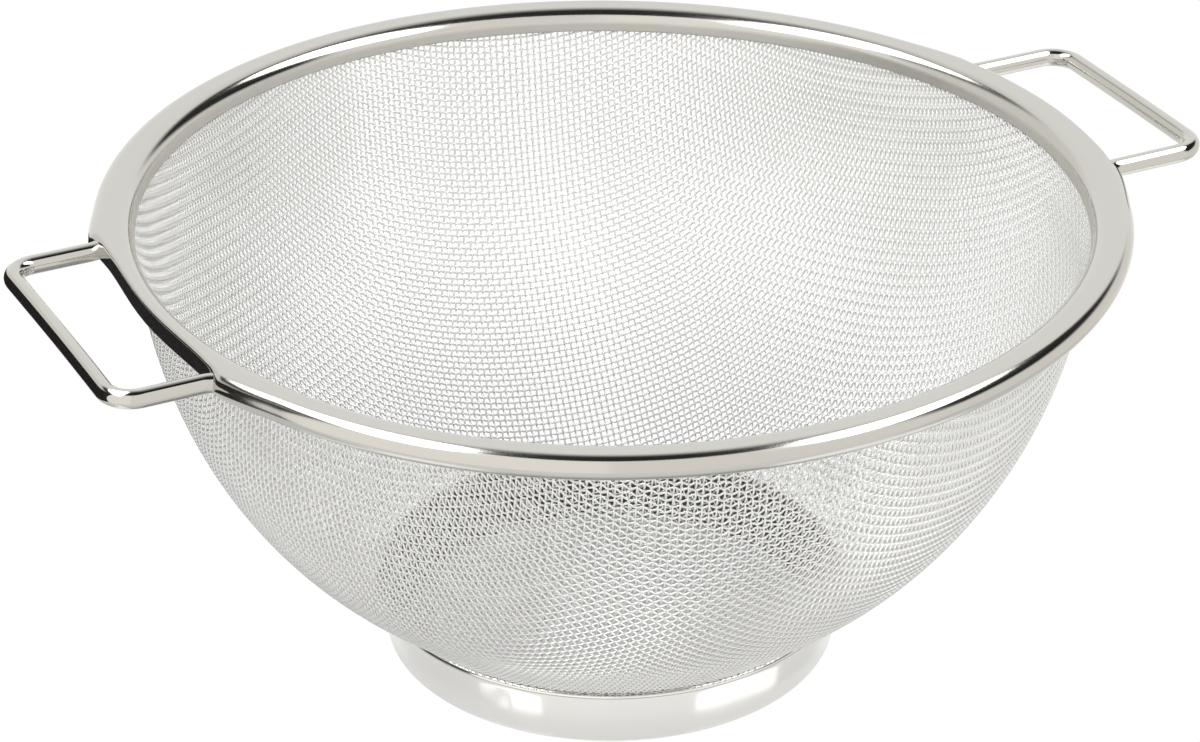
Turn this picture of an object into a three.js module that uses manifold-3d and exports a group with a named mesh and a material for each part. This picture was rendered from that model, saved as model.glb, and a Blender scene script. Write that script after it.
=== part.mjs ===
// Fine mesh strainer: a wire-cloth bowl in a rolled steel rim, two wire handles and a foot ring.
// Millimetres, +Z up. The handles lie along X and the foot ring stands on z = 0.

import * as THREE from 'three';
import { mergeVertices } from 'three/addons/utils/BufferGeometryUtils.js';
import Module from 'manifold-3d';

const wasm = await Module();
wasm.setup();

// Sizes of the rim
const rimRadius = 120;          // outermost reach of the rolled edge
const rimHeight = 114.8;        // top of the rim above the table
const rimSheet = 0.5;           // strip thickness
const flangeWidth = 7.3;        // from the inner crease to the outermost reach
const flangeFall = 0.5;         // how far the crease lies below the top
const skirtDrop = 6.2;          // height of the inner skirt
const rimDrawIn = 2.7;          // how far the rolled edge is drawn in between two legs
const rimBulge = 0.9;           // how far it swells where a leg comes out
const rimBulgeReach = 9;        // degrees over which the swelling dies away
const rimTurnSpan = 4;          // degrees over which the edge passes from drawn in to swollen
const rimCornerLag = 1;         // degrees by which the sharpest corner lies outside the leg
const creaseRound = 0.9;        // how far the inner crease is rounded to either side
const clothInset = 9.7;         // from the outermost reach of the rim to the middle of the cloth

// Sizes of the handle wires
const wireDiameter = 4.4;
const legSpacing = 66;          // between the centre lines of one handle's legs
const gripReach = 19;           // from the outermost reach of the rim to the centre of the grip bar
const gripBendRadius = 6.5;     // centre line of the two grip corners
const legBendRadius = 6;        // centre line where the wire turns out of the rim
const wireEndGap = 0.8;         // between the butting ends of the two wires inside the rim

// Sizes of the bowl
const bowlCentreDrop = 2.6;     // the wall turns upright this far below the top of the rim
const bowlFloorHeight = 6.5;    // flat floor above the table
const wallSlope = 38.5;         // degrees from level, of the straight wall above the floor
const floorFillet = 8;
const clothThickness = 1.1;
const clothPitch = 16;          // the woven cells are drawn coarse; the cloth has cells of 1.5
const clothWireWidth = 1.7;
const clothTurn = -26;          // degrees, direction of the first set of wires
const clothEdgeFold = 4;        // height of cloth held in the rolled rim
const clothEdgeLap = 2.2;       // height of the pressed edge below the rim

// Sizes of the foot ring
const footTopRadius = 57.3;
const footTaper = 3.7;          // how much smaller the radius is at the table
const footHeight = 15;          // middle of the sheet at the top of the tapered wall
const footBend = 1.2;           // how far its two corners are rounded to either side
const footSheet = 0.7;
const footLand = 3;             // width of the turned-in edge that rests on the table
const footSeat = 3.2;           // length of the turned-in edge under the bowl

// Fits and facets
const clearance = 0.3;
const rimSteps = 72;
const wireSides = 8;
const bendSteps = 6;
const footSteps = 52;
const rollSteps = 6;
const rimCrowding = 0.25;       // how far the rim's facets gather at the handles
const cornerInset = 0.42;       // most of a cell's side that one corner of its hole may take

const degree = Math.PI / 180;

// Sizes that follow from those above
const wireRadius = wireDiameter / 2;
const rollInner = wireRadius + clearance;
const rollOuter = rollInner + rimSheet;
const hoopRadius = rimRadius - rollOuter;
const hoopHeight = rimHeight - rollOuter;
const halfCloth = clothThickness / 2;
const legAngle = Math.asin(legSpacing / 2 / hoopRadius) / degree;
const handleReach = rimRadius + gripReach;
const bowlRadius = rimRadius - clothInset;
const bowlCentre = rimHeight - bowlCentreDrop;
const skirtFoot = rimHeight - flangeFall - skirtDrop;
const sheetSpacing = halfCloth + clearance + rimSheet / 2;

// Turn a closed geometry into a solid that can be cut, and back again
function toSolid(geometry) {
  const plain = geometry.clone();
  plain.deleteAttribute('normal');
  plain.deleteAttribute('uv');
  const welded = mergeVertices(plain, 1e-4);
  const mesh = new wasm.Mesh({
    numProp: 3,
    vertProperties: new Float32Array(welded.attributes.position.array),
    triVerts: new Uint32Array(welded.index.array),
  });
  mesh.merge();
  return new wasm.Manifold(mesh);
}

function toGeometry(solid) {
  const mesh = solid.getMesh();
  const geometry = new THREE.BufferGeometry();
  geometry.setAttribute('position', new THREE.BufferAttribute(new Float32Array(mesh.vertProperties), 3));
  geometry.setIndex(new THREE.BufferAttribute(new Uint32Array(mesh.triVerts), 1));
  const flat = geometry.toNonIndexed();
  flat.computeVertexNormals();
  return flat;
}

// Angles of the rim's facets, closer together at the handles
function rimAngle(index) {
  const even = (index / rimSteps) * Math.PI * 2;
  return even - rimCrowding * Math.sin(2 * even);
}

function smooth(from, to, value) {
  return THREE.MathUtils.smoothstep(value, from, to);
}

// How far the rolled edge lies outside its circle, by the angle from the nearest handle's axis
function rimOffset(angle) {
  const fold = Math.abs(Math.atan(Math.tan(angle))) / degree;
  const corner = legAngle + rimCornerLag;
  const drawn = -(rimDrawIn + rimBulge) * (1 - smooth(legAngle - rimTurnSpan, corner, fold));
  const swell = rimBulge * (1 - smooth(corner, corner + rimBulgeReach, fold));
  return drawn + swell;
}

// Give a middle line a thickness: out along one side, back along the other
function sheetSection(line, thickness) {
  const left = [];
  const right = [];
  line.forEach((point, index) => {
    const before = line[Math.max(index - 1, 0)];
    const after = line[Math.min(index + 1, line.length - 1)];
    const into = new THREE.Vector2().subVectors(point, before).normalize();
    const out = new THREE.Vector2().subVectors(after, point).normalize();
    const along = new THREE.Vector2().addVectors(into, out).normalize();
    const straight = index === 0 ? out : into;
    const stretch = Math.max(0.5, Math.abs(along.dot(straight)));
    const side = new THREE.Vector2(-along.y, along.x).multiplyScalar(thickness / 2 / stretch);
    left.push(point.clone().add(side));
    right.unshift(point.clone().sub(side));
  });
  return [...left, ...right];
}

// Replace a sharp corner by two points, a little before and a little after it
function breakCorner(before, corner, after, reach) {
  const back = new THREE.Vector2().subVectors(before, corner).setLength(reach);
  const ahead = new THREE.Vector2().subVectors(after, corner).setLength(reach);
  return [corner.clone().add(back), corner.clone().add(ahead)];
}

// Revolve a closed section about Z, with its own angle for every step
function revolve(section, steps, angleOf, shiftOf) {
  const clockwise = THREE.ShapeUtils.isClockWise(section);
  const ordered = clockwise ? [...section].reverse() : section;
  const closed = [...ordered, ordered[0].clone()];
  const geometry = new THREE.LatheGeometry(closed, steps);
  const position = geometry.attributes.position;
  for (let step = 0; step <= steps; step += 1) {
    const angle = angleOf(step % steps);
    closed.forEach((point, index) => {
      const radius = point.x + shiftOf(point, angle);
      const slot = step * closed.length + index;
      position.setXYZ(slot, radius * Math.cos(angle), radius * Math.sin(angle), point.y);
    });
  }
  return geometry;
}

const evenAngle = (steps) => (step) => (step / steps) * Math.PI * 2;
const noShift = () => 0;

// The straight wall lies on the seat of the foot ring and runs tangent into an elliptical upper wall
const slope = wallSlope * degree;
const steep = Math.tan(slope);
const seatGap = halfCloth + clearance + footSheet / 2;
const footTop = new THREE.Vector2(footTopRadius - footSheet / 2, footHeight);
const onSeat = footTop.clone().add(new THREE.Vector2(-Math.sin(slope), Math.cos(slope)).multiplyScalar(seatGap));
const axisDrop = bowlCentre + onSeat.x * steep - onSeat.y;
const bowlDepth = Math.sqrt(axisDrop * axisDrop - (bowlRadius * steep) ** 2);
const wallTurn = Math.atan2(bowlRadius * steep, bowlDepth);
const floorCorner = onSeat.x - (onSeat.y - bowlFloorHeight) / steep;
const floorReach = floorCorner - floorFillet * Math.tan(slope / 2);

// The line that the pressed cloth follows, from the axis outwards, measured along the cloth
const bowlLine = new THREE.Path();
bowlLine.moveTo(0, bowlFloorHeight);
bowlLine.lineTo(floorReach, bowlFloorHeight);
bowlLine.absarc(floorReach, bowlFloorHeight + floorFillet, floorFillet, -Math.PI / 2, slope - Math.PI / 2);
bowlLine.absellipse(0, bowlCentre, bowlRadius, bowlDepth, wallTurn - Math.PI / 2, 0);
const curvedLength = bowlLine.getLength();
bowlLine.lineTo(bowlRadius, bowlCentre + 4 * clothPitch);
const bowlLength = bowlLine.getLength();

function bowlPoint(length) {
  const place = THREE.MathUtils.clamp(length / bowlLength, 0, 1);
  const point = bowlLine.getPoint(place);
  const along = bowlLine.getTangent(place);
  return { r: point.x, z: point.y, tilt: Math.atan2(along.y, along.x) };
}

function onBowl(length, angle) {
  const { r, z } = bowlPoint(length);
  return new THREE.Vector3(r * Math.cos(angle), r * Math.sin(angle), z);
}

function bowlNormal(length, angle) {
  const { tilt } = bowlPoint(length);
  const inward = Math.sin(tilt);
  return new THREE.Vector3(-inward * Math.cos(angle), -inward * Math.sin(angle), Math.cos(tilt));
}

// A woven sheet keeps its cell sides when it is pressed: each crossing is one pitch from two neighbours
function crossing(first, second, guess) {
  let { length, angle } = guess;
  const miss = (l, a) => {
    const point = onBowl(l, a);
    return [point.distanceTo(first) - clothPitch, point.distanceTo(second) - clothPitch];
  };
  for (let turn = 0; turn < 30; turn += 1) {
    const [m1, m2] = miss(length, angle);
    const small = 1e-5;
    const byLength = miss(length + small, angle).map((m, k) => (m - [m1, m2][k]) / small);
    const byAngle = miss(length, angle + small).map((m, k) => (m - [m1, m2][k]) / small);
    const base = byLength[0] * byAngle[1] - byLength[1] * byAngle[0];
    length -= (m1 * byAngle[1] - m2 * byAngle[0]) / base;
    angle -= (byLength[0] * m2 - byLength[1] * m1) / base;
  }
  return { length, angle };
}

// One quarter of the pressed net; the other three are its mirror images
const netReach = curvedLength + clothPitch;
const netCount = Math.ceil(netReach / clothPitch) + 1;

function quarterNet() {
  const rows = [];
  for (let i = 0; i <= netCount; i += 1) {
    rows.push([]);
    for (let j = 0; j <= netCount; j += 1) {
      if (i === 0 || j === 0) {
        rows[i].push({ length: (i + j) * clothPitch, angle: j === 0 ? 0 : Math.PI / 2 });
        continue;
      }
      const left = rows[i - 1][j];
      const below = rows[i][j - 1];
      const back = rows[i - 1][j - 1];
      if (!left || !below || Math.max(left.length, below.length) > netReach) {
        rows[i].push(null);
        continue;
      }
      const firstStep = Math.hypot(left.length, below.length);
      const ahead = i === 1 && j === 1 ? firstStep : left.length + below.length - back.length;
      const middle = (left.angle + below.angle) / 2;
      const guess = { length: ahead, angle: middle };
      rows[i].push(crossing(onBowl(left.length, left.angle), onBowl(below.length, below.angle), guess));
    }
  }
  return rows;
}

// The open net as one body: wires of diamond section, joined where they cross
function netGeometry() {
  const quarter = quarterNet();
  const turn = clothTurn * degree;
  const nodeAt = (i, j) => {
    const found = quarter[Math.abs(i)]?.[Math.abs(j)];
    if (!found) return null;
    const across = Math.cos(found.angle) * (i < 0 ? -1 : 1);
    const along = Math.sin(found.angle) * (j < 0 ? -1 : 1);
    const angle = Math.atan2(along, across) + turn;
    const point = onBowl(found.length, angle);
    const lift = bowlNormal(found.length, angle).multiplyScalar(halfCloth);
    return { point, upper: point.clone().add(lift), lower: point.clone().sub(lift), length: found.length };
  };
  const corners = [];
  const quad = (a, b, c, d) => {
    corners.push(a, b, c, a, c, d);
  };
  const cellAt = (i, j) => {
    const ring = [nodeAt(i, j), nodeAt(i + 1, j), nodeAt(i + 1, j + 1), nodeAt(i, j + 1)];
    if (ring.some((node) => node === null)) return null;
    return Math.min(...ring.map((node) => node.length)) < netReach - clothPitch ? ring : null;
  };
  for (let i = -netCount; i < netCount; i += 1) {
    for (let j = -netCount; j < netCount; j += 1) {
      const ring = cellAt(i, j);
      if (ring === null) continue;
      const hole = ring.map((node, k) => {
        const next = ring[(k + 1) % 4].point.clone().sub(node.point).normalize();
        const last = ring[(k + 3) % 4].point.clone().sub(node.point).normalize();
        const spread = next.clone().cross(last).length();
        const across = next.add(last);
        const inset = Math.min(clothWireWidth / 2 / spread, cornerInset * clothPitch);
        return node.point.clone().add(across.multiplyScalar(inset));
      });
      const sides = [cellAt(i, j - 1), cellAt(i + 1, j), cellAt(i, j + 1), cellAt(i - 1, j)];
      for (let k = 0; k < 4; k += 1) {
        const m = (k + 1) % 4;
        quad(ring[k].upper, ring[m].upper, hole[m], hole[k]);
        quad(ring[m].lower, ring[k].lower, hole[k], hole[m]);
        if (sides[k] === null) quad(ring[k].lower, ring[m].lower, ring[m].upper, ring[k].upper);
      }
    }
  }
  return new THREE.BufferGeometry().setFromPoints(corners);
}

// Sections of the rim
const creaseRadius = rimRadius - flangeWidth;
const creaseHeight = rimHeight - rimSheet / 2 - flangeFall;
const clothTop = skirtFoot + clothEdgeFold;
const foldLean = Math.atan2(skirtDrop - rimSheet, creaseRadius - bowlRadius + sheetSpacing);
const foldSide = new THREE.Vector2(Math.sin(foldLean), -Math.cos(foldLean));

function clothEdgeLine() {
  const low = new THREE.Vector2(bowlRadius, skirtFoot);
  const run = clothEdgeFold / Math.tan(foldLean);
  return [
    new THREE.Vector2(bowlRadius, skirtFoot - clothEdgeLap),
    low,
    new THREE.Vector2(low.x + run, clothTop),
  ];
}

function rimLine() {
  const skirt = new THREE.Vector2(bowlRadius, skirtFoot).addScaledVector(foldSide, -sheetSpacing);
  const crease = new THREE.Vector2(creaseRadius, creaseHeight);
  const middle = (rollInner + rollOuter) / 2;
  const crest = new THREE.Vector2(hoopRadius, hoopHeight + middle);
  const line = [skirt, ...breakCorner(skirt, crease, crest, creaseRound)];
  for (let step = 0; step <= rollSteps; step += 1) {
    const angle = Math.PI / 2 - (step / rollSteps) * Math.PI;
    const out = new THREE.Vector2(Math.cos(angle), Math.sin(angle)).multiplyScalar(middle);
    line.push(new THREE.Vector2(hoopRadius, hoopHeight).add(out));
  }
  const clamp = new THREE.Vector2(bowlRadius, skirtFoot).addScaledVector(foldSide, sheetSpacing);
  const under = hoopHeight - middle;
  const rise = (under - clamp.y) / Math.tan(foldLean);
  line.push(new THREE.Vector2(clamp.x + rise, under));
  line.push(clamp);
  return line;
}

// Only the rolled part of the rim moves with the handles; the skirts stay round
function rimShift(point, angle) {
  return rimOffset(angle) * smooth(creaseRadius + clearance, hoopRadius - rimDrawIn, point.x);
}

// The path of one handle wire, seen from above with the handle towards +X
class WirePath extends THREE.Curve {
  constructor(stations) {
    super();
    this.stations = stations;
  }

  getPoint(t, target = new THREE.Vector3()) {
    const place = t * (this.stations.length - 1);
    const index = Math.min(Math.floor(place), this.stations.length - 2);
    return target.lerpVectors(this.stations[index], this.stations[index + 1], place - index);
  }

  getUtoTmapping(u) {
    return u;
  }
}

function arcStations(cx, cy, radius, from, to, steps) {
  const stations = [];
  for (let step = 0; step <= steps; step += 1) {
    const angle = from + (to - from) * (steps === 0 ? 0 : step / steps);
    stations.push(new THREE.Vector3(cx + radius * Math.cos(angle), cy + radius * Math.sin(angle), hoopHeight));
  }
  return stations;
}

// The loop that stands out of the rim, from one turn to the other
function loopStations() {
  const legY = legSpacing / 2;
  const bendY = legY + legBendRadius;
  const bendReach = hoopRadius + legBendRadius;
  const bendX = Math.sqrt(bendReach * bendReach - bendY * bendY);
  const leave = Math.atan2(bendY, bendX);
  const turnOut = arcStations(bendX, bendY, legBendRadius, leave + Math.PI, 1.5 * Math.PI, bendSteps);
  const cornerX = handleReach - gripBendRadius;
  const cornerY = legY - gripBendRadius;
  const corner = arcStations(cornerX, cornerY, gripBendRadius, Math.PI / 2, 0, bendSteps);
  return [...turnOut, ...corner, ...mirrorY(corner), ...mirrorY(turnOut)];
}

// The two ends that run on inside the rolled rim
function tailStations() {
  const first = loopStations()[0];
  const leave = Math.atan2(first.y, first.x);
  const endAngle = Math.PI / 2 - wireEndGap / 2 / hoopRadius;
  const tail = arcStations(0, 0, hoopRadius, endAngle, endAngle, 0);
  for (let index = rimSteps / 4; index > 0; index -= 1) {
    const angle = rimAngle(index);
    if (angle > endAngle - 0.01 || angle < leave + 0.01) continue;
    tail.push(...arcStations(0, 0, hoopRadius, angle, angle, 0));
  }
  return tail;
}

function mirrorY(stations) {
  return stations.map((point) => new THREE.Vector3(point.x, -point.y, point.z)).reverse();
}

function wireGeometry(stations, radius) {
  const circle = new THREE.Shape();
  for (let side = 0; side < wireSides; side += 1) {
    const angle = ((side + 0.5) / wireSides) * Math.PI * 2;
    const point = new THREE.Vector2(Math.cos(angle), Math.sin(angle)).multiplyScalar(radius);
    if (side === 0) circle.moveTo(point.x, point.y);
    else circle.lineTo(point.x, point.y);
  }
  return new THREE.ExtrudeGeometry(circle, {
    steps: stations.length - 1,
    extrudePath: new WirePath(stations),
    curveSegments: 1,
  });
}

// The foot ring: a seat turned in under the bowl, a tapered wall and a land turned in on the table
function footLine() {
  const seat = footTop.clone().add(new THREE.Vector2(-Math.cos(slope), -Math.sin(slope)).multiplyScalar(footSeat));
  const middle = footSheet / 2;
  const corner = new THREE.Vector2(footTopRadius - footTaper - middle, middle);
  const land = new THREE.Vector2(corner.x - footLand, middle);
  return [
    seat,
    ...breakCorner(seat, footTop, corner, footBend),
    ...breakCorner(footTop, corner, land, footBend),
    land,
  ];
}

// Materials, as photographed: bright rolled strip, drawn wire, satin ring, fine wire cloth
const stripSteel = new THREE.MeshStandardMaterial({ color: 0xd6d4cf, roughness: 0.16, metalness: 1 });
const drawnSteel = new THREE.MeshStandardMaterial({ color: 0xcfccc6, roughness: 0.14, metalness: 1 });
const satinSteel = new THREE.MeshStandardMaterial({ color: 0xdad8d2, roughness: 0.26, metalness: 1 });
const clothSteel = new THREE.MeshStandardMaterial({ color: 0xc9c6bf, roughness: 0.32, metalness: 1 });

// Assembly
const strainer = new THREE.Group();
strainer.name = 'fine_mesh_strainer';

function addPiece(name, geometry, material) {
  const mesh = new THREE.Mesh(geometry, material);
  mesh.name = name;
  strainer.add(mesh);
  return mesh;
}

const net = toSolid(netGeometry()).trimByPlane([0, 0, -1], -(skirtFoot - clothThickness));
const edgeSection = sheetSection(clothEdgeLine(), clothThickness);
const clothEdge = toSolid(revolve(edgeSection, rimSteps, rimAngle, noShift));
addPiece('mesh_bowl', toGeometry(net.add(clothEdge)), clothSteel);

const rimSection = sheetSection(rimLine(), rimSheet);
const rimSolid = toSolid(revolve(rimSection, rimSteps, rimAngle, rimShift));
const wireRoom = toSolid(wireGeometry(loopStations(), rollInner));
const otherRoom = wireRoom.rotate([0, 0, 180]);
addPiece('rim_band', toGeometry(rimSolid.subtract(wireRoom).subtract(otherRoom)), stripSteel);

const tail = tailStations();
const wire = wireGeometry([...tail, ...loopStations(), ...mirrorY(tail)], wireRadius);
addPiece('handle_wire_right', wire, drawnSteel);
addPiece('handle_wire_left', wire.clone(), drawnSteel).rotation.z = Math.PI;

const footSection = sheetSection(footLine(), footSheet);
addPiece('foot_ring', revolve(footSection, footSteps, evenAngle(footSteps), noShift), satinSteel);

export default strainer;
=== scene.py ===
import math

import bpy
import numpy as np
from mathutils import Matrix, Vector


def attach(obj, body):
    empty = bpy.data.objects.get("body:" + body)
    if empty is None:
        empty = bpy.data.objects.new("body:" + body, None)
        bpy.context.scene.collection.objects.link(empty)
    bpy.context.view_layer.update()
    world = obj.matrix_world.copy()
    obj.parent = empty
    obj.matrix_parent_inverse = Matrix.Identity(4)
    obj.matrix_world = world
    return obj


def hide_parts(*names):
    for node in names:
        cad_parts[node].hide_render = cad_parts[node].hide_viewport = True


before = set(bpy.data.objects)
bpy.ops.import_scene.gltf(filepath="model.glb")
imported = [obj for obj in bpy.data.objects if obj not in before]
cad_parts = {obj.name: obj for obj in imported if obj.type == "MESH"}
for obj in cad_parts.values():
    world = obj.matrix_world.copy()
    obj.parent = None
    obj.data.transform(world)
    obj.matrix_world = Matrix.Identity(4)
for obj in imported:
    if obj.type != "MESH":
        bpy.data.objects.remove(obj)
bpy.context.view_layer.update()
mm = 0.001  # sizes below are millimetres, Blender works in metres
levelOnly = (1.0, 1.0, 0.0)  # leaves the height out of a direction
print("frame loaded:", ", ".join(sorted(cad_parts)))


# colours are picked as sRGB hex and turned to linear here
def hexColor(text):
    channels = [int(text[k:k + 2], 16) / 255 for k in (1, 3, 5)]
    linear = [c / 12.92 if c <= 0.04045 else ((c + 0.055) / 1.055) ** 2.4 for c in channels]
    return (*linear, 1.0)


# adds one node, sets its properties and socket values, and links what comes as a socket;
# a socket goes by its name, or by its place in the row as _0, _1 and so on
def addNode(tree, kind, settings=None, **sockets):
    node = tree.nodes.new(kind)
    for name, value in (settings or {}).items():
        setattr(node, name, value)
    for name, value in sockets.items():
        socket = node.inputs[int(name[1:])] if name[1:].isdigit() else node.inputs[name.replace("_", " ")]
        if isinstance(value, bpy.types.NodeSocket):
            tree.links.new(value, socket)
        else:
            socket.default_value = value
    return node


def calculate(tree, operation, first, second=0.0):
    return addNode(tree, "ShaderNodeMath", {"operation": operation}, _0=first, _1=second).outputs["Value"]


def vectorMath(tree, operation, first, second=(0.0, 0.0, 0.0)):
    node = addNode(tree, "ShaderNodeVectorMath", {"operation": operation}, _0=first, _1=second)
    return node.outputs["Value" if operation in ("DOT_PRODUCT", "LENGTH") else "Vector"]


def scaled(tree, vector, amount):
    node = addNode(tree, "ShaderNodeVectorMath", {"operation": "SCALE"}, _0=vector, Scale=amount)
    return node.outputs["Vector"]


# the mix node holds its numbers, vectors and colours in one row of sockets
def mixed(tree, kind, factor, first, second):
    low, high, result = {"FLOAT": (2, 3, 0), "VECTOR": (4, 5, 1), "RGBA": (6, 7, 2)}[kind]
    ends = {f"_{low}": first, f"_{high}": second}
    node = addNode(tree, "ShaderNodeMix", {"data_type": kind}, _0=factor, **ends)
    return node.outputs[result]


# a value carried from one range to another, with soft ends or evenly
def ramp(tree, value, source, target, soft=True):
    node = addNode(tree, "ShaderNodeMapRange", {"interpolation_type": "SMOOTHSTEP" if soft else "LINEAR"},
                   Value=value, From_Min=source[0], From_Max=source[1], To_Min=target[0], To_Max=target[1])
    return node.outputs["Result"]


def cloud(tree, place, sizeMm, detail=2.0):
    noise = addNode(tree, "ShaderNodeTexNoise", Vector=place, Scale=1 / (sizeMm * mm), Detail=detail)
    return noise.outputs["Fac"]


# a value that wanders to either side of its middle by a share of it
def uneven(tree, place, sizeMm, middle, spread):
    limits = (middle * (1 - spread), middle * (1 + spread))
    return ramp(tree, cloud(tree, place, sizeMm), (0.0, 1.0), limits, False)


def newMaterial(name):
    material = bpy.data.materials.new(name)
    material.use_nodes = True
    material.node_tree.nodes.clear()
    return material, material.node_tree


def finishMaterial(tree, surface):
    addNode(tree, "ShaderNodeOutputMaterial", Surface=surface)


def objectPlace(tree):
    return addNode(tree, "ShaderNodeTexCoord").outputs["Object"]


def surfaceNormal(tree):
    return addNode(tree, "ShaderNodeNewGeometry").outputs["Normal"]


def addObject(name, data):
    holder = bpy.data.objects.new(name, data)
    bpy.context.scene.collection.objects.link(holder)
    return holder


def smoothStep(low, high, value):
    t = np.clip((np.asarray(value, float) - low) / (high - low), 0, 1)
    return t * t * (3 - 2 * t)


# Roundness: the rim is a little out of round, and the pieces that it holds follow it
roundness = {
    "grow": 0.8,             # added to the radius all round
    "waves": {1: (0.23, 0.46), 2: (-0.14, -0.49), 3: (1.0, -0.26)},  # waves per turn: cosine and sine share
    "fromHeight": 35.0,      # the wall takes it up between these heights
    "toHeight": 107.0,
    "leastReach": 1.0,       # keeps points on the axis where they are
}


# moves points of a round form to where the rim pulls them
def settle(points):
    points = np.array(points, float)
    angle = np.arctan2(points[:, 1], points[:, 0])
    reach = np.hypot(points[:, 0], points[:, 1])
    shift = np.full(len(points), roundness["grow"])
    for count, (cosine, sine) in roundness["waves"].items():
        shift += cosine * np.cos(count * angle) + sine * np.sin(count * angle)
    shift *= smoothStep(roundness["fromHeight"], roundness["toHeight"], points[:, 2])
    points[:, :2] *= (1 + shift / np.maximum(reach, roundness["leastReach"]))[:, None]
    return points


# a mesh from points, quads and end caps, with a bake map that follows the sheet or wire
def buildPiece(name, points, quads, quadUvs, caps, capUvs, material, nodes):
    quads = np.asarray(quads, np.int32)
    capSides = len(caps[0]) if len(caps) else 0
    loops = np.concatenate([quads.ravel(), np.asarray(caps, np.int32).ravel()])
    sizes = np.concatenate([np.full(len(quads), 4, np.int32), np.full(len(caps), capSides, np.int32)])
    starts = np.concatenate([[0], np.cumsum(sizes)[:-1]]).astype(np.int32)
    mesh = bpy.data.meshes.new(name)
    mesh.vertices.add(len(points))
    mesh.vertices.foreach_set("co", (settle(points) * mm).astype(np.float32).ravel())
    mesh.loops.add(len(loops))
    mesh.loops.foreach_set("vertex_index", loops)
    mesh.polygons.add(len(sizes))
    mesh.polygons.foreach_set("loop_start", starts)
    mesh.update(calc_edges=True)
    mesh.validate()
    uvMap = mesh.uv_layers.new(name="OFBake")
    uvs = np.concatenate([np.asarray(quadUvs, np.float32).ravel(), np.asarray(capUvs, np.float32).ravel()])
    uvMap.data.foreach_set("uv", uvs)
    mesh.polygons.foreach_set("use_smooth", np.ones(len(sizes), bool))
    mesh.materials.append(material)
    piece = addObject(name, mesh)
    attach(piece, "root")
    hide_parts(*nodes)
    return piece


# quads between the rings of a grid, looking outwards; uv runs over the given cell of the bake map
def gridQuads(rings, sides, closeRings, cell):
    ringCount = rings if closeRings else rings - 1
    i, j = np.meshgrid(np.arange(ringCount), np.arange(sides), indexing="ij")
    i, j = i.ravel(), j.ravel()
    nextI, nextJ = (i + 1) % rings, (j + 1) % sides
    quads = np.stack([i * sides + j, i * sides + nextJ, nextI * sides + nextJ, nextI * sides + j], 1)
    (lowU, lowV), (highU, highV) = cell
    stepU, stepV = (highU - lowU) / ringCount, (highV - lowV) / sides
    u, v = lowU + stepU * i, lowV + stepV * j
    uvs = np.stack([u, v, u, v + stepV, u + stepU, v + stepV, u + stepU, v], 1)
    return quads, uvs


# rings of a round tube along a path, each at right angles to it, with one side turned to a given direction
def tubeRings(path, up, radius, sides):
    along = np.gradient(path, axis=0)
    along /= np.linalg.norm(along, axis=1, keepdims=True)
    across = np.cross(along, up)
    across /= np.linalg.norm(across, axis=1, keepdims=True)
    lift = np.cross(across, along)
    turn = 2 * np.pi * np.arange(sides) / sides
    ring = np.cos(turn)[None, :, None] * lift[:, None, :] + np.sin(turn)[None, :, None] * across[:, None, :]
    return path[:, None, :] + radius * ring


# rounds the corner between two straight lines into an arc of points
def roundCorner(before, corner, after, radius, count):
    before, corner, after = (np.array(p, float) for p in (before, corner, after))
    a = (before - corner) / np.linalg.norm(before - corner)
    b = (after - corner) / np.linalg.norm(after - corner)
    half = math.acos(np.clip(a @ b, -1, 1)) / 2
    centre = corner + (a + b) / np.linalg.norm(a + b) * radius / math.sin(half)
    start = corner + a * radius / math.tan(half)
    end = corner + b * radius / math.tan(half)
    startAngle = math.atan2(*(start - centre)[::-1])
    sweep = (math.atan2(*(end - centre)[::-1]) - startAngle + math.pi) % (2 * math.pi) - math.pi
    angles = startAngle + sweep * np.linspace(0, 1, count)
    return centre + radius * np.stack([np.cos(angles), np.sin(angles)], 1)


# offsets a middle line to both sides and closes it into a section
def sheetSection(line, thickness):
    along = np.gradient(line, axis=0)
    along /= np.linalg.norm(along, axis=1, keepdims=True)
    side = np.stack([-along[:, 1], along[:, 0]], 1) * thickness / 2
    return np.vstack([line + side, (line - side)[::-1]])


# points at even steps along a line
def resample(line, count):
    steps = np.concatenate([[0], np.cumsum(np.linalg.norm(np.diff(line, axis=0), axis=1))])
    at = np.linspace(0, steps[-1], count)
    return np.stack([np.interp(at, steps, line[:, k]) for k in (0, 1)], 1)


# Bowl: the line that the pressed cloth follows, from the axis outwards
bowl = {
    "wallRadius": 109.9,     # upper wall is part of a sphere
    "centreHeight": 112.2,   # centre of that sphere
    "floorHeight": 6.5,
    "wallSlope": 40.3,       # degrees from level, straight wall above the floor
    "floorFillet": 8.0,
    "foldHeight": 100.0,     # above this the cloth leans out, up into the rim
    "foldLean": 78.0,        # degrees from level
}


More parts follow.
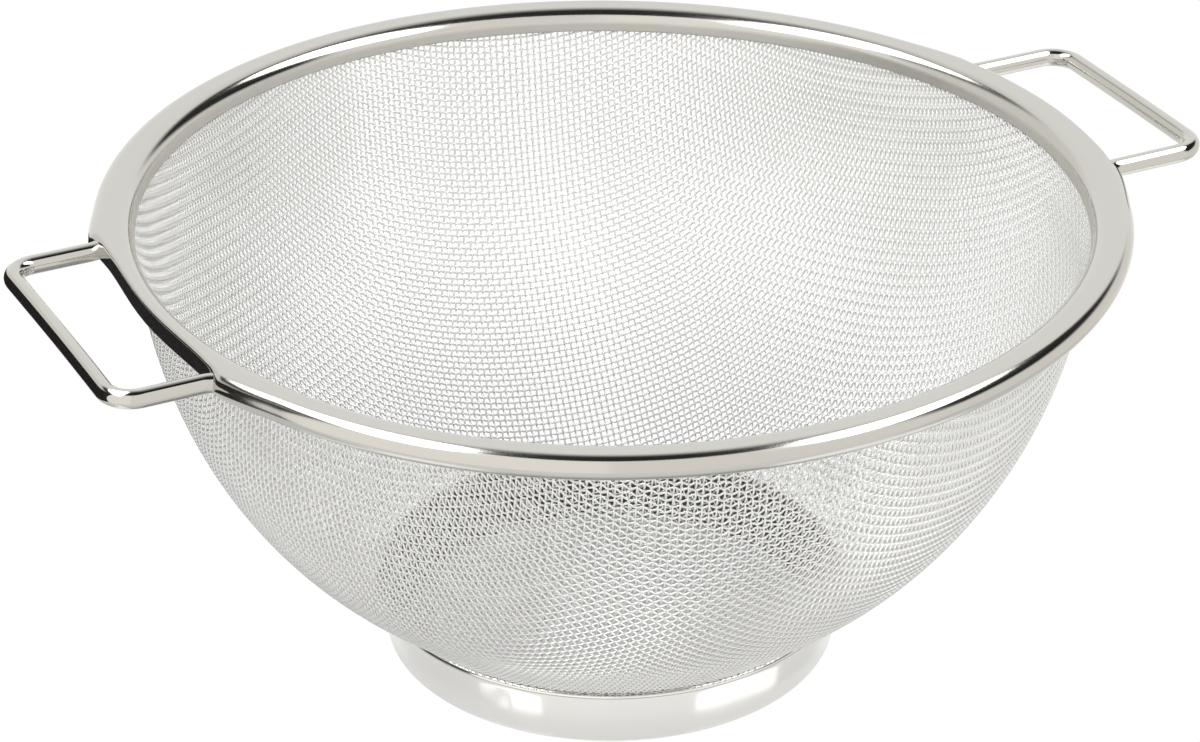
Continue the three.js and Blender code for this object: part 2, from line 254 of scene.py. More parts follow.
def bowlLine(length):
    slope = math.radians(bowl["wallSlope"])
    radius, fillet = bowl["wallRadius"], bowl["floorFillet"]
    topR = radius * math.sin(slope)
    topZ = bowl["centreHeight"] - radius * math.cos(slope)
    corner = topR - (topZ - bowl["floorHeight"]) / math.tan(slope)
    floorReach = corner - fillet * math.tan(slope / 2)
    filletEnd = floorReach + fillet * slope
    wallEnd = filletEnd + math.hypot(topR - corner, topZ - bowl["floorHeight"]) - fillet * math.tan(slope / 2)
    foldTurn = math.acos((bowl["centreHeight"] - bowl["foldHeight"]) / radius)
    foldStart = wallEnd + (foldTurn - slope) * radius
    lean = math.radians(bowl["foldLean"])
    bend = np.clip((length - floorReach) / fillet, 0, slope)
    straight = np.clip(length - filletEnd, 0, wallEnd - filletEnd)
    turn = np.minimum(slope + np.maximum(length - wallEnd, 0) / radius, foldTurn)
    folded = np.maximum(length - foldStart, 0)
    onSphere = length > wallEnd
    r = np.minimum(length, floorReach) + fillet * np.sin(bend) + straight * math.cos(slope)
    z = bowl["floorHeight"] + fillet * (1 - np.cos(bend)) + straight * math.sin(slope)
    r = np.where(onSphere, radius * np.sin(turn) + folded * math.cos(lean), r)
    z = np.where(onSphere, bowl["centreHeight"] - radius * np.cos(turn) + folded * math.sin(lean), z)
    tilt = np.where(onSphere, np.where(folded > 0, lean, turn), bend)
    return r, z, tilt


# a place on the bowl, with the directions in which length and angle grow there
def onBowl(length, angle):
    r, z, tilt = bowlLine(length)
    cos, sin = np.cos(angle), np.sin(angle)
    point = np.stack([r * cos, r * sin, z], -1)
    outward = np.stack([np.cos(tilt) * cos, np.cos(tilt) * sin, np.sin(tilt)], -1)
    sideways = np.stack([-r * sin, r * cos, np.zeros_like(r)], -1)
    return point, outward, sideways


# Wire cloth: plain weave, pressed into the bowl so that every cell keeps its four sides
cloth = {
    "pitch": 1.59,
    "wire": 0.47,            # wire diameter
    "air": 0.02,             # between two wires where they cross
    "turn": -12.0,           # degrees, direction of the first set of wires
    "sides": 6,
    "flatShare": 0.24,       # share of the pitch either side of a crossing before the wire dips
    "topHeight": 110.6,      # the ends are held in the rim
    "fewestCrossings": 4,    # wires with fewer are left out
    "spareRows": 3,          # rows of the net past the rim
    "solveRounds": 12,
    "piecesEachWay": 6,
    "laneShare": 0.9,        # of its lane in the bake map that a wire fills
}

clothFinish = {
    "lightHex": "#f9f9f8",
    "darkHex": "#efefed",
    "patchMm": 25.0,
    "metallic": 0.75,
    "roughness": 0.22,
    "insideShadeShare": 0.66,       # painted shade: of the brightness that is left inside at the floor
    "insideShadeHeights": (8.0, 62.0),  # it comes back between these
}


# Stainless wire, drawn and woven: softer than the strip,
# and darker inside towards the floor, a painted shade of the bowl's hollow
def drawnWire(name, finish, centreHeight):
    material, tree = newMaterial(name)
    place = objectPlace(tree)
    tint = mixed(tree, "RGBA", cloud(tree, place, finish["patchMm"]), hexColor(finish["darkHex"]),
                 hexColor(finish["lightHex"]))
    height = addNode(tree, "ShaderNodeSeparateXYZ", Vector=place).outputs["Z"]
    # painted shade: faces looking into the bowl get darker towards the floor
    paintedShade = ramp(tree, height, [z * mm for z in finish["insideShadeHeights"]], (finish["insideShadeShare"], 1.0))
    fromCentre = vectorMath(tree, "SUBTRACT", place, (0.0, 0.0, centreHeight * mm))
    facing = vectorMath(tree, "DOT_PRODUCT", surfaceNormal(tree), fromCentre)
    outside = calculate(tree, "GREATER_THAN", facing, 0.0)
    shadedTint = scaled(tree, tint, mixed(tree, "FLOAT", outside, paintedShade, 1.0))
    shader = addNode(tree, "ShaderNodeBsdfPrincipled", Base_Color=shadedTint, Metallic=finish["metallic"],
                     Roughness=finish["roughness"])
    finishMaterial(tree, shader.outputs["BSDF"])
    return material


# lengths and angles of the crossings in one quarter of the net, found diagonal by diagonal
def quarterNet():
    pitch = cloth["pitch"]
    reach = bowl["wallRadius"] * math.pi / 2
    count = int(reach / pitch) + cloth["spareRows"]
    steps = np.arange(count + 1) * pitch
    lengths = np.full((count + 1, count + 1), np.nan)
    angles = np.full((count + 1, count + 1), np.nan)
    lengths[:, 0] = steps
    angles[:, 0] = 0.0
    lengths[0, :] = steps
    angles[0, :] = math.pi / 2
    for diagonal in range(2, 2 * count + 1):
        i = np.arange(max(1, diagonal - count), min(count, diagonal - 1) + 1)
        j = diagonal - i
        known = np.maximum(lengths[i - 1, j], lengths[i, j - 1]) < reach + 2 * pitch
        i, j = i[known], j[known]
        if not len(i):
            break
        first, _, _ = onBowl(lengths[i - 1, j], angles[i - 1, j])
        second, _, _ = onBowl(lengths[i, j - 1], angles[i, j - 1])
        length = lengths[i - 1, j] + lengths[i, j - 1] - lengths[i - 1, j - 1]
        length[(i == 1) & (j == 1)] = pitch * math.sqrt(2)  # the cell on the axis
        angle = (angles[i - 1, j] + angles[i, j - 1]) / 2
        for _ in range(cloth["solveRounds"]):
            point, outward, sideways = onBowl(length, angle)
            toFirst, toSecond = point - first, point - second
            reachA = np.linalg.norm(toFirst, axis=1)
            reachB = np.linalg.norm(toSecond, axis=1)
            missA, missB = reachA - pitch, reachB - pitch
            aLength = (toFirst * outward).sum(1) / reachA
            bLength = (toSecond * outward).sum(1) / reachB
            aAngle = (toFirst * sideways).sum(1) / reachA
            bAngle = (toSecond * sideways).sum(1) / reachB
            base = aLength * bAngle - bLength * aAngle
            length = length - (missA * bAngle - missB * aAngle) / base
            angle = angle - (aLength * missB - bLength * missA) / base
        lengths[i, j] = length
        angles[i, j] = angle
    return lengths, angles


# crossing points and upward normals of the whole net, mirrored out of the quarter
def wholeNet():
    lengths, angles = quarterNet()
    count = len(lengths) - 1
    index = np.arange(-count, count + 1)
    length = lengths[np.abs(index)[:, None], np.abs(index)[None, :]]
    angle = angles[np.abs(index)[:, None], np.abs(index)[None, :]]
    across = np.cos(angle) * np.where(index < 0, -1, 1)[:, None]
    along = np.sin(angle) * np.where(index < 0, -1, 1)[None, :]
    turned = np.arctan2(along, across) + math.radians(cloth["turn"])
    point, _, _ = onBowl(length, turned)
    _, _, tilt = bowlLine(length)
    normal = np.stack([-np.sin(tilt) * np.cos(turned), -np.sin(tilt) * np.sin(turned), np.cos(tilt)], -1)
    inside = point[..., 2] < cloth["topHeight"]  # false too where the net wasn't solved
    return point, normal, inside


# one crimped wire: flat over each crossing, then down to pass under the next
def crimpedPath(points, normals, signs):
    height = (cloth["wire"] + cloth["air"]) / 2
    before = np.vstack([2 * points[:1] - points[1:2], points[:-1]])
    after = np.vstack([points[1:], 2 * points[-1:] - points[-2:-1]])
    middle = points + normals * (signs * height)[:, None]
    share = cloth["flatShare"]
    left = middle + (before - points) * share
    right = middle + (after - points) * share
    path = np.stack([left, right], 1).reshape(-1, 3)
    return path, np.repeat(normals, 2, axis=0)


# all the wires of one direction, in several pieces of neighbouring wires
def clothPieces(name, point, normal, inside, flip, material):
    sides = cloth["sides"]
    rows = [k for k in range(len(point)) if inside[k].sum() >= cloth["fewestCrossings"]]
    groups = np.array_split(np.array(rows), cloth["piecesEachWay"])
    for number, group in enumerate(groups, 1):
        points, quads, uvs, caps, capUvs = [], [], [], [], []
        start = 0
        for lane, row in enumerate(group):
            held = np.flatnonzero(inside[row])
            signs = np.where((row + held) % 2 == 0, 1.0, -1.0) * flip
            path, ups = crimpedPath(point[row, held], normal[row, held], signs)
            rings = tubeRings(path, ups, cloth["wire"] / 2, sides)
            low, high = lane / len(group), (lane + cloth["laneShare"]) / len(group)
            wireQuads, wireUvs = gridQuads(len(path), sides, False, ((0.0, low), (1.0, high)))
            points.append(rings.reshape(-1, 3))
            quads.append(wireQuads + start)
            uvs.append(wireUvs)
            firstCap = start + np.arange(sides)
            caps += [firstCap[::-1], firstCap + (len(path) - 1) * sides]
            capUvs += [np.tile([0.0, low], sides), np.tile([1.0, low], sides)]
            start += rings.shape[0] * sides
        buildPiece(f"{name}{number}", np.concatenate(points), np.concatenate(quads), np.concatenate(uvs),
                   caps, capUvs, material, ["mesh_bowl"])


clothSteel = drawnWire("stainlessWireDrawnWoven", clothFinish, bowl["centreHeight"])
netPoint, netNormal, netInside = wholeNet()
clothPieces("clothWarp", netPoint, netNormal, netInside, 1.0, clothSteel)
clothPieces("clothWeft", netPoint.transpose(1, 0, 2), netNormal.transpose(1, 0, 2), netInside.T, -1.0,
            clothSteel)
print("cloth woven:", int(netInside.sum()), "crossings")


# Stainless strip or wire, polished: mirror bright, with a faint grain; a skirt that looks inwards stays satin
def polishedSteel(name, finish):
    material, tree = newMaterial(name)
    place = objectPlace(tree)
    rough = uneven(tree, place, finish["cloudMm"], finish["roughness"], finish["spread"])
    if "skirt" in finish:
        skirt = finish["skirt"]
        outward = vectorMath(tree, "NORMALIZE", vectorMath(tree, "MULTIPLY", place, levelOnly))
        facing = vectorMath(tree, "DOT_PRODUCT", surfaceNormal(tree), outward)
        satin = ramp(tree, facing, (skirt["satin"], skirt["bright"]), (skirt["roughness"], 0.0))
        rough = calculate(tree, "MAXIMUM", rough, satin)
    grain = cloud(tree, place, finish["grainMm"], finish["grainDetail"])
    bump = addNode(tree, "ShaderNodeBump", Height=grain, Strength=1.0, Distance=finish["grainDepth"] * mm)
    shader = addNode(tree, "ShaderNodeBsdfPrincipled", Base_Color=hexColor(finish["hex"]), Metallic=1.0,
                     Roughness=rough, Normal=bump.outputs["Normal"])
    finishMaterial(tree, shader.outputs["BSDF"])
    return material


# Handles: each is one wire, its two ends running on inside the rolled rim
handle = {
    "wire": 4.4,
    "right": {"legSpacing": 61.4, "reach": 141.3},  # bent by hand, so the two differ a little
    "left": {"legSpacing": 70.0, "reach": 136.1},
    "gripBend": 6.5,         # bend radius of the wire's middle line
    "legBend": 6.0,
    "endGap": 0.8,           # between the ends of the two wires
    "sides": 24,
    "hoopRadius": 117.0,
    "hoopHeight": 111.8,
    "points": {"tail": 60, "turn": 16, "leg": 8, "corner": 20, "bar": 12},
    "wallShare": 0.9,        # of the bake map that the wire's wall takes up, the rest is for its ends
    "capAt": (0.05, 0.95),   # where the first end lies in it
    "capSize": 0.03,
    "capApart": (0.1, 0.0),  # from the first end to the second
}

handleFinish = {
    "hex": "#cfcdc8",
    "roughness": 0.08,
    "spread": 0.3,           # how uneven the polish is
    "cloudMm": 30.0,
    "grainMm": 1.2,          # drawn coarser than real, which is too fine to show
    "grainDetail": 3.0,
    "grainDepth": 0.003,
}


# degrees round the rim from the middle of a handle to either leg
def legAngle(side):
    return math.degrees(math.asin(handle[side]["legSpacing"] / 2 / handle["hoopRadius"]))


def arcPoints(centreX, centreY, radius, start, end, count):
    turn = np.linspace(start, end, count)
    return np.stack([centreX + radius * np.cos(turn), centreY + radius * np.sin(turn)], 1)


# the wire's middle line: half of it from the tail to the grip, then the bar and the mirrored half
def handlePath(bends):
    points = handle["points"]
    legY = bends["legSpacing"] / 2
    bendY = legY + handle["legBend"]
    bendX = math.sqrt((handle["hoopRadius"] + handle["legBend"]) ** 2 - bendY ** 2)
    leave = math.atan2(bendY, bendX)
    end = math.pi / 2 - handle["endGap"] / 2 / handle["hoopRadius"]
    tail = arcPoints(0, 0, handle["hoopRadius"], end, leave, points["tail"])[:-1]
    turnOut = arcPoints(bendX, bendY, handle["legBend"], leave + math.pi, 1.5 * math.pi, points["turn"])
    cornerX, cornerY = bends["reach"] - handle["gripBend"], legY - handle["gripBend"]
    leg = np.linspace(turnOut[-1], (cornerX, legY), points["leg"])[1:-1]
    corner = arcPoints(cornerX, cornerY, handle["gripBend"], math.pi / 2, 0, points["corner"])
    half = np.vstack([tail, turnOut, leg, corner])
    bar = np.linspace(corner[-1], corner[-1] * (1, -1), points["bar"])[1:-1]
    plan = np.vstack([half, bar, half[::-1] * (1, -1)])
    return np.column_stack([plan, np.full(len(plan), handle["hoopHeight"])])


def handlePiece(name, side, turn, node, material):
    path = handlePath(handle[side]) * (turn, turn, 1)  # a turn of -1 is half a turn about the axis
    sides = handle["sides"]
    rings = tubeRings(path, np.tile([0.0, 0.0, 1.0], (len(path), 1)), handle["wire"] / 2, sides)
    quads, uvs = gridQuads(len(path), sides, False, ((0, 0), (1, handle["wallShare"])))
    caps = [np.arange(sides)[::-1], np.arange(sides) + (len(path) - 1) * sides]
    capUv = arcPoints(*handle["capAt"], handle["capSize"], 0, 2 * np.pi, sides + 1)[:-1]
    return buildPiece(name, rings.reshape(-1, 3), quads, uvs, caps, [capUv, capUv + handle["capApart"]],
                      material, [node])


# Rim: a strip folded over the cloth's edge and rolled round the handle wires
rim = {
    "radius": 120.0,         # outermost reach
    "height": 114.8,
    "sheet": 0.5,
    "rollRadius": 3.0,       # outside of the rolled edge
    "creaseRadius": 111.6,   # where flange and skirt would meet
    "flangeFall": 0.35,
    "bendRadius": 4.0,       # inner bend between flange and skirt
    "skirtFoot": (110.4, 109.4),
    "skirtBand": 2.1,        # flat lower band of the skirt
    "skirtLean": 6.0,        # degrees from upright
    "skirtKink": 0.6,        # bend radius at the top of the band
    "lip": (111.9, 109.3),   # end of the lower lip, which clamps the cloth from outside
    "lipReach": 1.0,         # the last of it, bent up against the cloth
    "lipBend": 0.7,
    "drawIn": {"right": 1.0, "left": 4.1},  # between two legs of a handle, where no wire fills the roll
    "drawSharpness": 4,      # the higher, the more of the edge between the legs is drawn in fully
    "cornerRadius": 0.7,
    "edgeHeight": 109.7,     # lower edge of the drawn-in wall
    "tuck": (1.2, 0.6),      # how far that edge is turned in and down
    "tuckBend": 0.4,
    "bulge": 0.9,            # swelling where a leg comes out
    "bulgeReach": 9.0,       # degrees
    "bulgeFrom": 0.5,        # beyond the crease, where the swelling starts to show
    "bulgeTo": 4.0,          # short of the outermost reach, where it shows fully
    "cornerBeyondLeg": 1.2,  # degrees past a leg, where the full roll begins
    "turnBeforeLeg": 3.0,    # degrees short of a leg, where the drawn-in edge starts to turn into the roll
    "steps": 600,
    "crowding": 0.3,         # how far the steps gather at the handles
    "points": {              # along each stretch and each bend of the section
        "inner": 26, "flange": 8, "outer": 40,
        "kink": 5, "bend": 14, "lip": 5, "corner": 14, "tuck": 6,
    },
}

rimFinish = {
    "hex": "#cfcdc8",
    "roughness": 0.13,
    "spread": 0.3,
    "cloudMm": 30.0,
    "grainMm": 0.6,          # drawn coarser than real, which is too fine to show
    "grainDetail": 3.0,
    "grainDepth": 0.004,
    "skirt": {
        "satin": -0.97,      # how far a face looks outwards: -1 is straight in, 0 is up
        "bright": -0.8,      # from here on it is polished
        "roughness": 0.4,
    },
}


# the strip's middle line twice: rolled round a wire, and drawn in between two legs
def rimLines(side):
    points = rim["points"]
    half = rim["sheet"] / 2
    top = rim["height"] - half
    start = np.array(rim["skirtFoot"])
    lean = math.radians(rim["skirtLean"])
    band = start + rim["skirtBand"] * np.array([math.sin(lean), math.cos(lean)])
    crease = (rim["creaseRadius"], top - rim["flangeFall"])
    hoop = np.array([rim["radius"] - rim["rollRadius"], rim["height"] - rim["rollRadius"]])
    middle = rim["rollRadius"] - half
    crest = hoop + (0, middle)
    inner = np.vstack([[start], roundCorner(start, band, crease, rim["skirtKink"], points["kink"]),
                       roundCorner(band, crease, crest, rim["bendRadius"], points["bend"])])
    roll = arcPoints(*hoop, middle, math.pi / 2, -math.pi / 2, points["outer"])
    clamp = (rim["lip"][0] + rim["lipReach"], hoop[1] - middle)
    lip = np.vstack([roundCorner(roll[-1], clamp, rim["lip"], rim["lipBend"], points["lip"]), [rim["lip"]]])
    corner = (rim["radius"] - rim["drawIn"][side] - half, top)
    edge = (corner[0], rim["edgeHeight"])
    tuck = (edge[0] - rim["tuck"][0], edge[1] - rim["tuck"][1])
    fallen = np.vstack([roundCorner(crease, corner, edge, rim["cornerRadius"], points["corner"]),
                        roundCorner(corner, edge, tuck, rim["tuckBend"], points["tuck"]), [tuck]])
    skirt = resample(inner, points["inner"])
    lines = []
    for outer in (roll, resample(fallen, points["outer"])):
        flange = resample(np.vstack([inner[-1:], outer[:1]]), points["flange"])
        lines.append(np.vstack([skirt, flange[1:], outer[1:], lip]))
    return lines


def rimPiece(material):
    lines = {side: rimLines(side) for side in rim["drawIn"]}
    even = 2 * np.pi * np.arange(rim["steps"]) / rim["steps"]
    angle = even - rim["crowding"] * np.sin(2 * even)
    fold = np.degrees(np.abs(np.arctan(np.tan(angle))))  # degrees from the middle of the nearer handle
    leg = np.where(np.cos(angle) > 0, legAngle("right"), legAngle("left"))
    corner = leg + rim["cornerBeyondLeg"]
    drawn = 1 - np.clip(fold / corner, 0, 1) ** rim["drawSharpness"]
    swell = rim["bulge"] * (1 - smoothStep(corner, corner + rim["bulgeReach"], fold))
    shape = 1 - smoothStep(leg - rim["turnBeforeLeg"], corner, fold)
    rings = []
    for k in range(len(angle)):
        cos, sin = math.cos(angle[k]), math.sin(angle[k])
        side = "right" if cos > 0 else "left"
        rolled, folded = lines[side]
        line = rolled + (folded - rolled) * shape[k]
        outer = smoothStep(rim["creaseRadius"] + rim["bulgeFrom"], rim["radius"] - rim["bulgeTo"], line[:, 0])
        extra = swell[k] * (1 - shape[k]) - rim["drawIn"][side] * (drawn[k] - shape[k])
        line = line + np.stack([outer * extra, np.zeros(len(line))], 1)
        section = sheetSection(line, rim["sheet"])
        rings.append(np.stack([section[:, 0] * cos, section[:, 0] * sin, section[:, 1]], 1))
    rings = np.array(rings)
    quads, uvs = gridQuads(rings.shape[0], rings.shape[1], True, ((0, 0), (1, 1)))
    return buildPiece("rimStrip", rings.reshape(-1, 3), quads, uvs, [], [],
                      material, ["rim_band"])


rimPiece(polishedSteel("stainlessStripRolledPolished", rimFinish))
print("rim rolled")

handleSteel = polishedSteel("stainlessWireDrawnPolished", handleFinish)
handlePiece("handleRight", "right", 1, "handle_wire_right", handleSteel)
handlePiece("handleLeft", "left", -1, "handle_wire_left", handleSteel)
print("handles bent")


# Foot: a tapered ring, turned in under the bowl at the top and on the table at the bottom
foot = {
    "topRadius": 57.7,
    "bottomRadius": 54.2,
    "height": 15.95,         # middle of the sheet at the top
    "sheet": 0.7,
    "topBend": 0.5,
    "bottomBend": 2.2,
    "seat": 3.2,             # width turned in under the bowl
    "land": 3.0,             # width turned in on the table
    "steps": 360,
    "points": {"seat": 5, "bend": 8, "wall": 14},
}

footFinish = {
    "hex": "#ebeae7",
    "shadedInsideHex": "#6d685f",  # painted shade inside the ring, which is also left unpolished
    "roughness": 0.1,
    "insideRoughness": 0.35,
    "spread": 0.15,
    "anisotropy": 0.4,
    "lineMm": 0.15,          # turned lines, drawn coarser than real, which are too fine to show
    "lineStretch": (0.02, 0.02, 1.0),  # drawn out on the level, fine upwards
}


# Stainless sheet, spun and satin finished outside only: turned lines round the ring smear reflections upright
def satinSheet(name, finish):
    material, tree = newMaterial(name)
    place = objectPlace(tree)
    stretch = addNode(tree, "ShaderNodeMapping", Vector=place, Scale=finish["lineStretch"]).outputs["Vector"]
    turned = uneven(tree, stretch, finish["lineMm"], finish["roughness"], finish["spread"])
    around = addNode(tree, "ShaderNodeTangent", {"direction_type": "RADIAL", "axis": "Z"})
    level = vectorMath(tree, "MULTIPLY", surfaceNormal(tree), levelOnly)
    inside = calculate(tree, "LESS_THAN", vectorMath(tree, "DOT_PRODUCT", level, place), 0.0)
    # faces looking inwards take the darker colour: painted shade inside the ring
    color = mixed(tree, "RGBA", inside, hexColor(finish["hex"]), hexColor(finish["shadedInsideHex"]))
    rough = mixed(tree, "FLOAT", inside, turned, finish["insideRoughness"])
    shader = addNode(tree, "ShaderNodeBsdfPrincipled", Base_Color=color, Metallic=1.0, Roughness=rough,
                     Anisotropic=finish["anisotropy"], Tangent=around.outputs["Tangent"])
    finishMaterial(tree, shader.outputs["BSDF"])
    return material


def footPiece(material):
    points = foot["points"]
    half = foot["sheet"] / 2
    slope = math.radians(bowl["wallSlope"])
    top = np.array([foot["topRadius"] - half, foot["height"]])
    seat = top - foot["seat"] * np.array([math.cos(slope), math.sin(slope)])
    corner = np.array([foot["bottomRadius"] - half, half])
    land = corner - (foot["land"], 0)
    line = np.vstack([       # straight stretches stop short of the bends
        np.linspace(seat, top, points["seat"])[:-2],
        roundCorner(seat, top, corner, foot["topBend"], points["bend"]),
        np.linspace(top, corner, points["wall"])[2:-2],
        roundCorner(top, corner, land, foot["bottomBend"], points["bend"]),
        [land],
    ])
    reach, height = sheetSection(line, foot["sheet"]).T
    angle = 2 * np.pi * np.arange(foot["steps"])[:, None] / foot["steps"]
    heights = np.tile(height, (foot["steps"], 1))
    rings = np.stack([reach * np.cos(angle), reach * np.sin(angle), heights], -1)
    quads, uvs = gridQuads(foot["steps"], len(reach), True, ((0, 0), (1, 1)))
    return buildPiece("footRing", rings.reshape(-1, 3), quads, uvs, [], [],
                      material, ["foot_ring"])


footPiece(satinSheet("stainlessSheetSpunSatin", footFinish))
print("foot spun")


# Studio: the camera's places are in the object's frame, those of lights and card go by the picture
studio = {
    "cameraAt": (-383.6, -771.3, 539.3),
    "lookAt": (-2.2, 1.1, 70.1),
    "lens": 123.7,
    "sensor": 36.0,
    "nearClip": 10.0,
    "farClip": 100000.0,
    "tableRadius": 300.0,    # lit part of the table, as the metal mirrors it
    "floorRadius": 9000.0,
    "floorSides": 96,
    "tableHex": "#9c9c9a",
    "footGlow": 0.56,        # painted glow round the foot, as of an acrylic sheet lit from below
    "dimGlow": 0.02,         # in the shade of the bowl's wall
    "outerGlow": 0.36,       # beyond the rim
    "dimFrom": (68.0, 85.0),  # distances from the axis between which the glow falls
    "dimTo": (100.0, 150.0),  # and between which it rises again
    "shadedInsideHex": "#6a6a68",  # table inside the foot ring, in the shade of the bowl
    "insideGlow": 0.26,
    "shownGlow": (1.0, 1.02),  # table as the camera sees it, white
    "backGlow": 1.01,        # background as the camera sees it
    "cloudMm": 60.0,
    "tableGloss": 0.04,
    "glossSpread": 0.2,
    "tableIor": 2.2,         # above that of acrylic, so that the softboxes shine back from it
    "maskRadius": 51.0,      # patch inside the foot ring, which the camera sees in its shade
    "boxHeight": 1000.0,
    "boxes": {               # centre in plan, size, degrees that it is turned
        "softboxLeft": ((-510.0, 0.0), (560.0, 1250.0), -14.0),
        "softboxRight": ((670.0, -20.0), (660.0, 1200.0), 20.0),
    },
    "boxRadiance": 3.4,
    "surround": 0.85,        # room light on matt surfaces
    "dark": 0.02,            # black cloth above the walls, seen in the polished metal only
    "walls": {               # from, to, soft edge in degrees: right of straight back, above level; then light
        "backdrop": ((-35.0, 35.0, 8.0), (-99.0, 58.0, 22.0), (0.98, 0.98, 0.96)),
        "rightWall": ((35.0, 105.0, 8.0), (-99.0, 18.0, 6.0), (0.9, 0.88, 0.84)),
        "leftWall": ((-105.0, -35.0, 8.0), (-99.0, 40.0, 6.0), (0.85, 0.84, 0.8)),
        "frontRight": ((105.0, 299.0, 8.0), (-99.0, 67.0, 2.5), (0.96, 0.94, 0.9)),
        "frontLeft": ((-299.0, -105.0, 8.0), (-99.0, 67.0, 2.5), (1.1, 1.08, 1.03)),
    },
    "card": {                # black card left of the object, out of the picture, that darkens its edges
        "right": (-172.0, -265.0),  # at its far and its near end
        "near": (-125.0, 150.0),
        "low": 1.0,
        "high": (55.0, 290.0),
        "hex": "#181716",
        "roughness": 0.9,
    },
}
white = (1.0, 1.0, 1.0, 1.0)


def towardsCamera():
    gap = Vector(studio["cameraAt"]) - Vector(studio["lookAt"])
    return Vector((gap.x, gap.y, 0)).normalized()


# a place given as image right, towards the camera and up, turned into the object's frame
def fromStudio(right, near, up):
    front = towardsCamera()
    side = Vector((-front.y, front.x, 0))
    return side * right + front * near + Vector((0, 0, up))


def hideFrom(holder, *rays):
    for ray in rays:
        setattr(holder, f"visible_{ray}", False)


def makeCamera():
    camera = bpy.data.cameras.new("photoCamera")
    camera.lens = studio["lens"]
    camera.sensor_width = studio["sensor"]
    camera.sensor_fit = "HORIZONTAL"
    camera.clip_start = studio["nearClip"] * mm
    camera.clip_end = studio["farClip"] * mm
    holder = addObject("photoCamera", camera)
    holder.location = Vector(studio["cameraAt"]) * mm
    aim = Vector(studio["lookAt"]) - Vector(studio["cameraAt"])
    holder.rotation_euler = aim.to_track_quat("-Z", "Y").to_euler()
    bpy.context.scene.camera = holder


# how strongly the lit table glows at a distance from the axis: painted light round the foot, painted shade
# under the bowl's wall
def glowAcross(tree, place):
    reach = vectorMath(tree, "LENGTH", place)
    dim = studio["dimGlow"]
    fall = ramp(tree, reach, [r * mm for r in studio["dimFrom"]], (studio["footGlow"], dim))
    rise = ramp(tree, reach, [r * mm for r in studio["dimTo"]], (0.0, studio["outerGlow"] - dim))
    return calculate(tree, "ADD", fall, rise)


# Acrylic sheet, white and polished: the table, with its own glow
def tableMaterial(name, baseHex, glow=None):
    material, tree = newMaterial(name)
    place = objectPlace(tree)
    rough = uneven(tree, place, studio["cloudMm"], studio["tableGloss"], studio["glossSpread"])
    shader = addNode(tree, "ShaderNodeBsdfPrincipled", Base_Color=hexColor(baseHex), Roughness=rough,
                     IOR=studio["tableIor"], Emission_Color=white,
                     Emission_Strength=glowAcross(tree, place) if glow is None else glow)
    finishMaterial(tree, shader.outputs["BSDF"])
    return material


# the white table that the camera sees
def shownMaterial(name):
    material, tree = newMaterial(name)
    place = objectPlace(tree)
    glow = ramp(tree, cloud(tree, place, studio["cloudMm"]), (0.0, 1.0), studio["shownGlow"], False)
    shine = addNode(tree, "ShaderNodeEmission", Color=white, Strength=glow)
    finishMaterial(tree, shine.outputs["Emission"])
    return material


# a flat ring on the table plane; an inner radius of nothing makes a disc
def makeFloor(name, inner, outer, material):
    count = studio["floorSides"]
    k = np.arange(count)
    turn = 2 * np.pi * k / count
    circle = np.stack([np.cos(turn), np.sin(turn), np.zeros(count)], 1) * mm
    mesh = bpy.data.meshes.new(name)
    if inner:
        faces = np.stack([k, k + count, (k + 1) % count + count, (k + 1) % count], 1)
        mesh.from_pydata(np.vstack([circle * inner, circle * outer]).tolist(), [], faces.tolist())
    else:
        mesh.from_pydata((circle * outer).tolist(), [], [k.tolist()])
    mesh.materials.append(material)
    floor = addObject(name, mesh)
    return floor


def makeTable():
    mask = studio["maskRadius"]
    shaded = tableMaterial("acrylicWhiteShaded", studio["shadedInsideHex"], studio["insideGlow"])
    polished = tableMaterial("acrylicWhitePolished", studio["tableHex"])
    makeFloor("tableInside", 0.0, mask, shaded)
    tableLit = makeFloor("tableLit", mask, studio["tableRadius"], polished)
    tableShown = makeFloor("tableShown", mask, studio["floorRadius"], shownMaterial("acrylicWhiteLit"))
    hideFrom(tableLit, "camera")
    hideFrom(tableShown, "diffuse", "glossy", "shadow")


# an oval light that looks down; its watts are radiance times pi times the oval's area
def makeSoftbox(name, centre, size, turn):
    width, depth = (length * mm for length in size)
    light = bpy.data.lights.new(name, "AREA")
    light.shape = "ELLIPSE"
    light.size = width
    light.size_y = depth
    light.energy = studio["boxRadiance"] * math.pi * (math.pi / 4 * width * depth)
    holder = addObject(name, light)
    holder.location = fromStudio(*centre, studio["boxHeight"]) * mm
    front = towardsCamera()
    holder.rotation_euler = (0, 0, math.atan2(front.x, -front.y) + math.radians(turn))


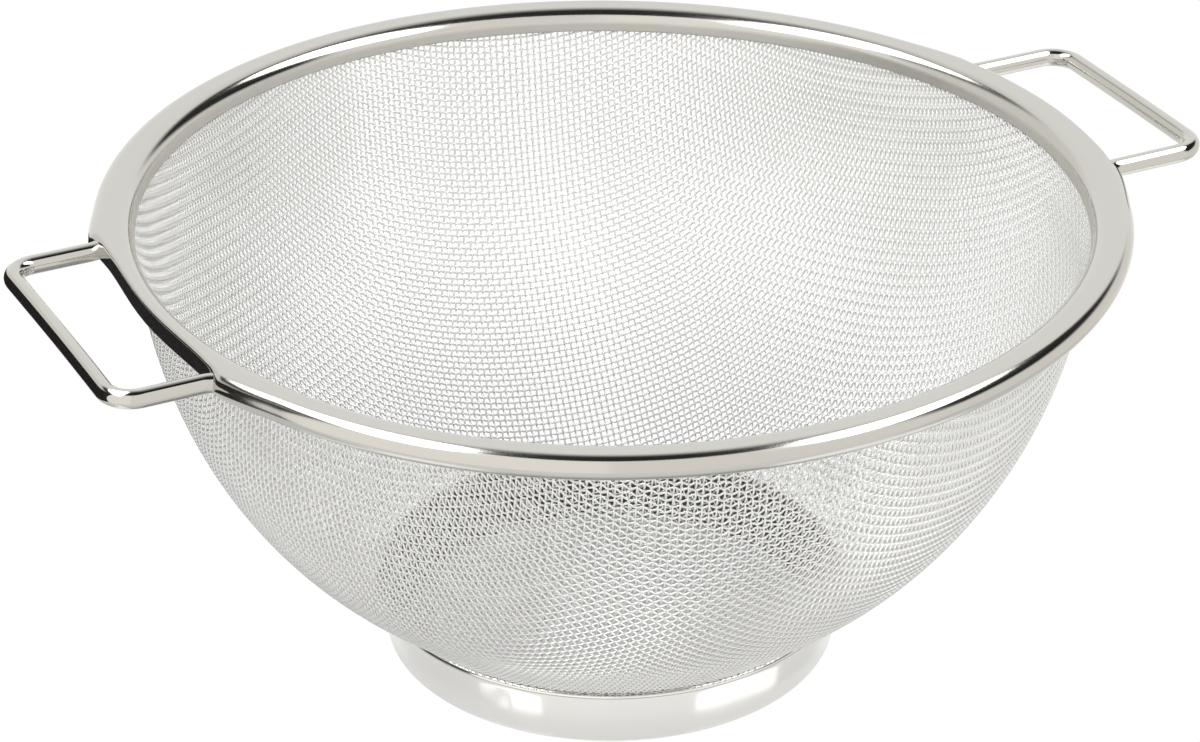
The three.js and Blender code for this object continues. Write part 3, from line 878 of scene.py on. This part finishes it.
def makeCard():
    card = studio["card"]
    lower = [fromStudio(*end, card["low"]) * mm for end in zip(card["right"], card["near"])]
    upper = [fromStudio(*end) * mm for end in zip(card["right"], card["near"], card["high"])]
    mesh = bpy.data.meshes.new("blackCard")
    mesh.from_pydata(lower + upper[::-1], [], [[0, 1, 2, 3]])
    material, tree = newMaterial("cardBlackMatt")
    shader = addNode(tree, "ShaderNodeBsdfPrincipled", Base_Color=hexColor(card["hex"]),
                     Roughness=card["roughness"])
    finishMaterial(tree, shader.outputs["BSDF"])
    mesh.materials.append(material)
    holder = addObject("blackCard", mesh)
    hideFrom(holder, "camera", "diffuse", "shadow")


# one inside a range of degrees, nothing outside, with a soft edge
def between(tree, angle, low, high, soft):
    low, high, soft = (math.radians(value) for value in (low, high, soft))
    rise = ramp(tree, angle, (low - soft, low + soft), (0.0, 1.0))
    fall = ramp(tree, angle, (high - soft, high + soft), (1.0, 0.0))
    return calculate(tree, "MULTIPLY", rise, fall)


# the room: white for the camera, even light for matt surfaces,
# and dark cloth with pale walls for the polished metal
def makeWorld():
    world = bpy.data.worlds.new("studioWorld")
    bpy.context.scene.world = world
    world.use_nodes = True
    world.cycles.sampling_method = "NONE"
    tree = world.node_tree
    tree.nodes.clear()
    sight = addNode(tree, "ShaderNodeTexCoord").outputs["Generated"]
    side = vectorMath(tree, "DOT_PRODUCT", sight, fromStudio(1, 0, 0))
    back = vectorMath(tree, "DOT_PRODUCT", sight, fromStudio(0, -1, 0))
    away = calculate(tree, "ARCTAN2", side, back)
    height = calculate(tree, "ARCSINE", addNode(tree, "ShaderNodeSeparateXYZ", Vector=sight).outputs["Z"])
    mirrored = (studio["dark"],) * 3
    for aside, upright, color in studio["walls"].values():
        mask = calculate(tree, "MULTIPLY", between(tree, away, *aside), between(tree, height, *upright))
        mirrored = vectorMath(tree, "ADD", mirrored, scaled(tree, color, mask))
    path = addNode(tree, "ShaderNodeLightPath").outputs
    seen = mixed(tree, "VECTOR", path["Is Glossy Ray"], (studio["surround"],) * 3, mirrored)
    seen = mixed(tree, "VECTOR", path["Is Camera Ray"], seen, (studio["backGlow"],) * 3)
    shine = addNode(tree, "ShaderNodeBackground", Color=seen, Strength=1.0)
    addNode(tree, "ShaderNodeOutputWorld", Surface=shine.outputs["Background"])


makeCamera()
makeTable()
for boxName, box in studio["boxes"].items():
    makeSoftbox(boxName, *box)
makeCard()
makeWorld()
bpy.context.scene.view_settings.view_transform = "Standard"
print("studio lit")
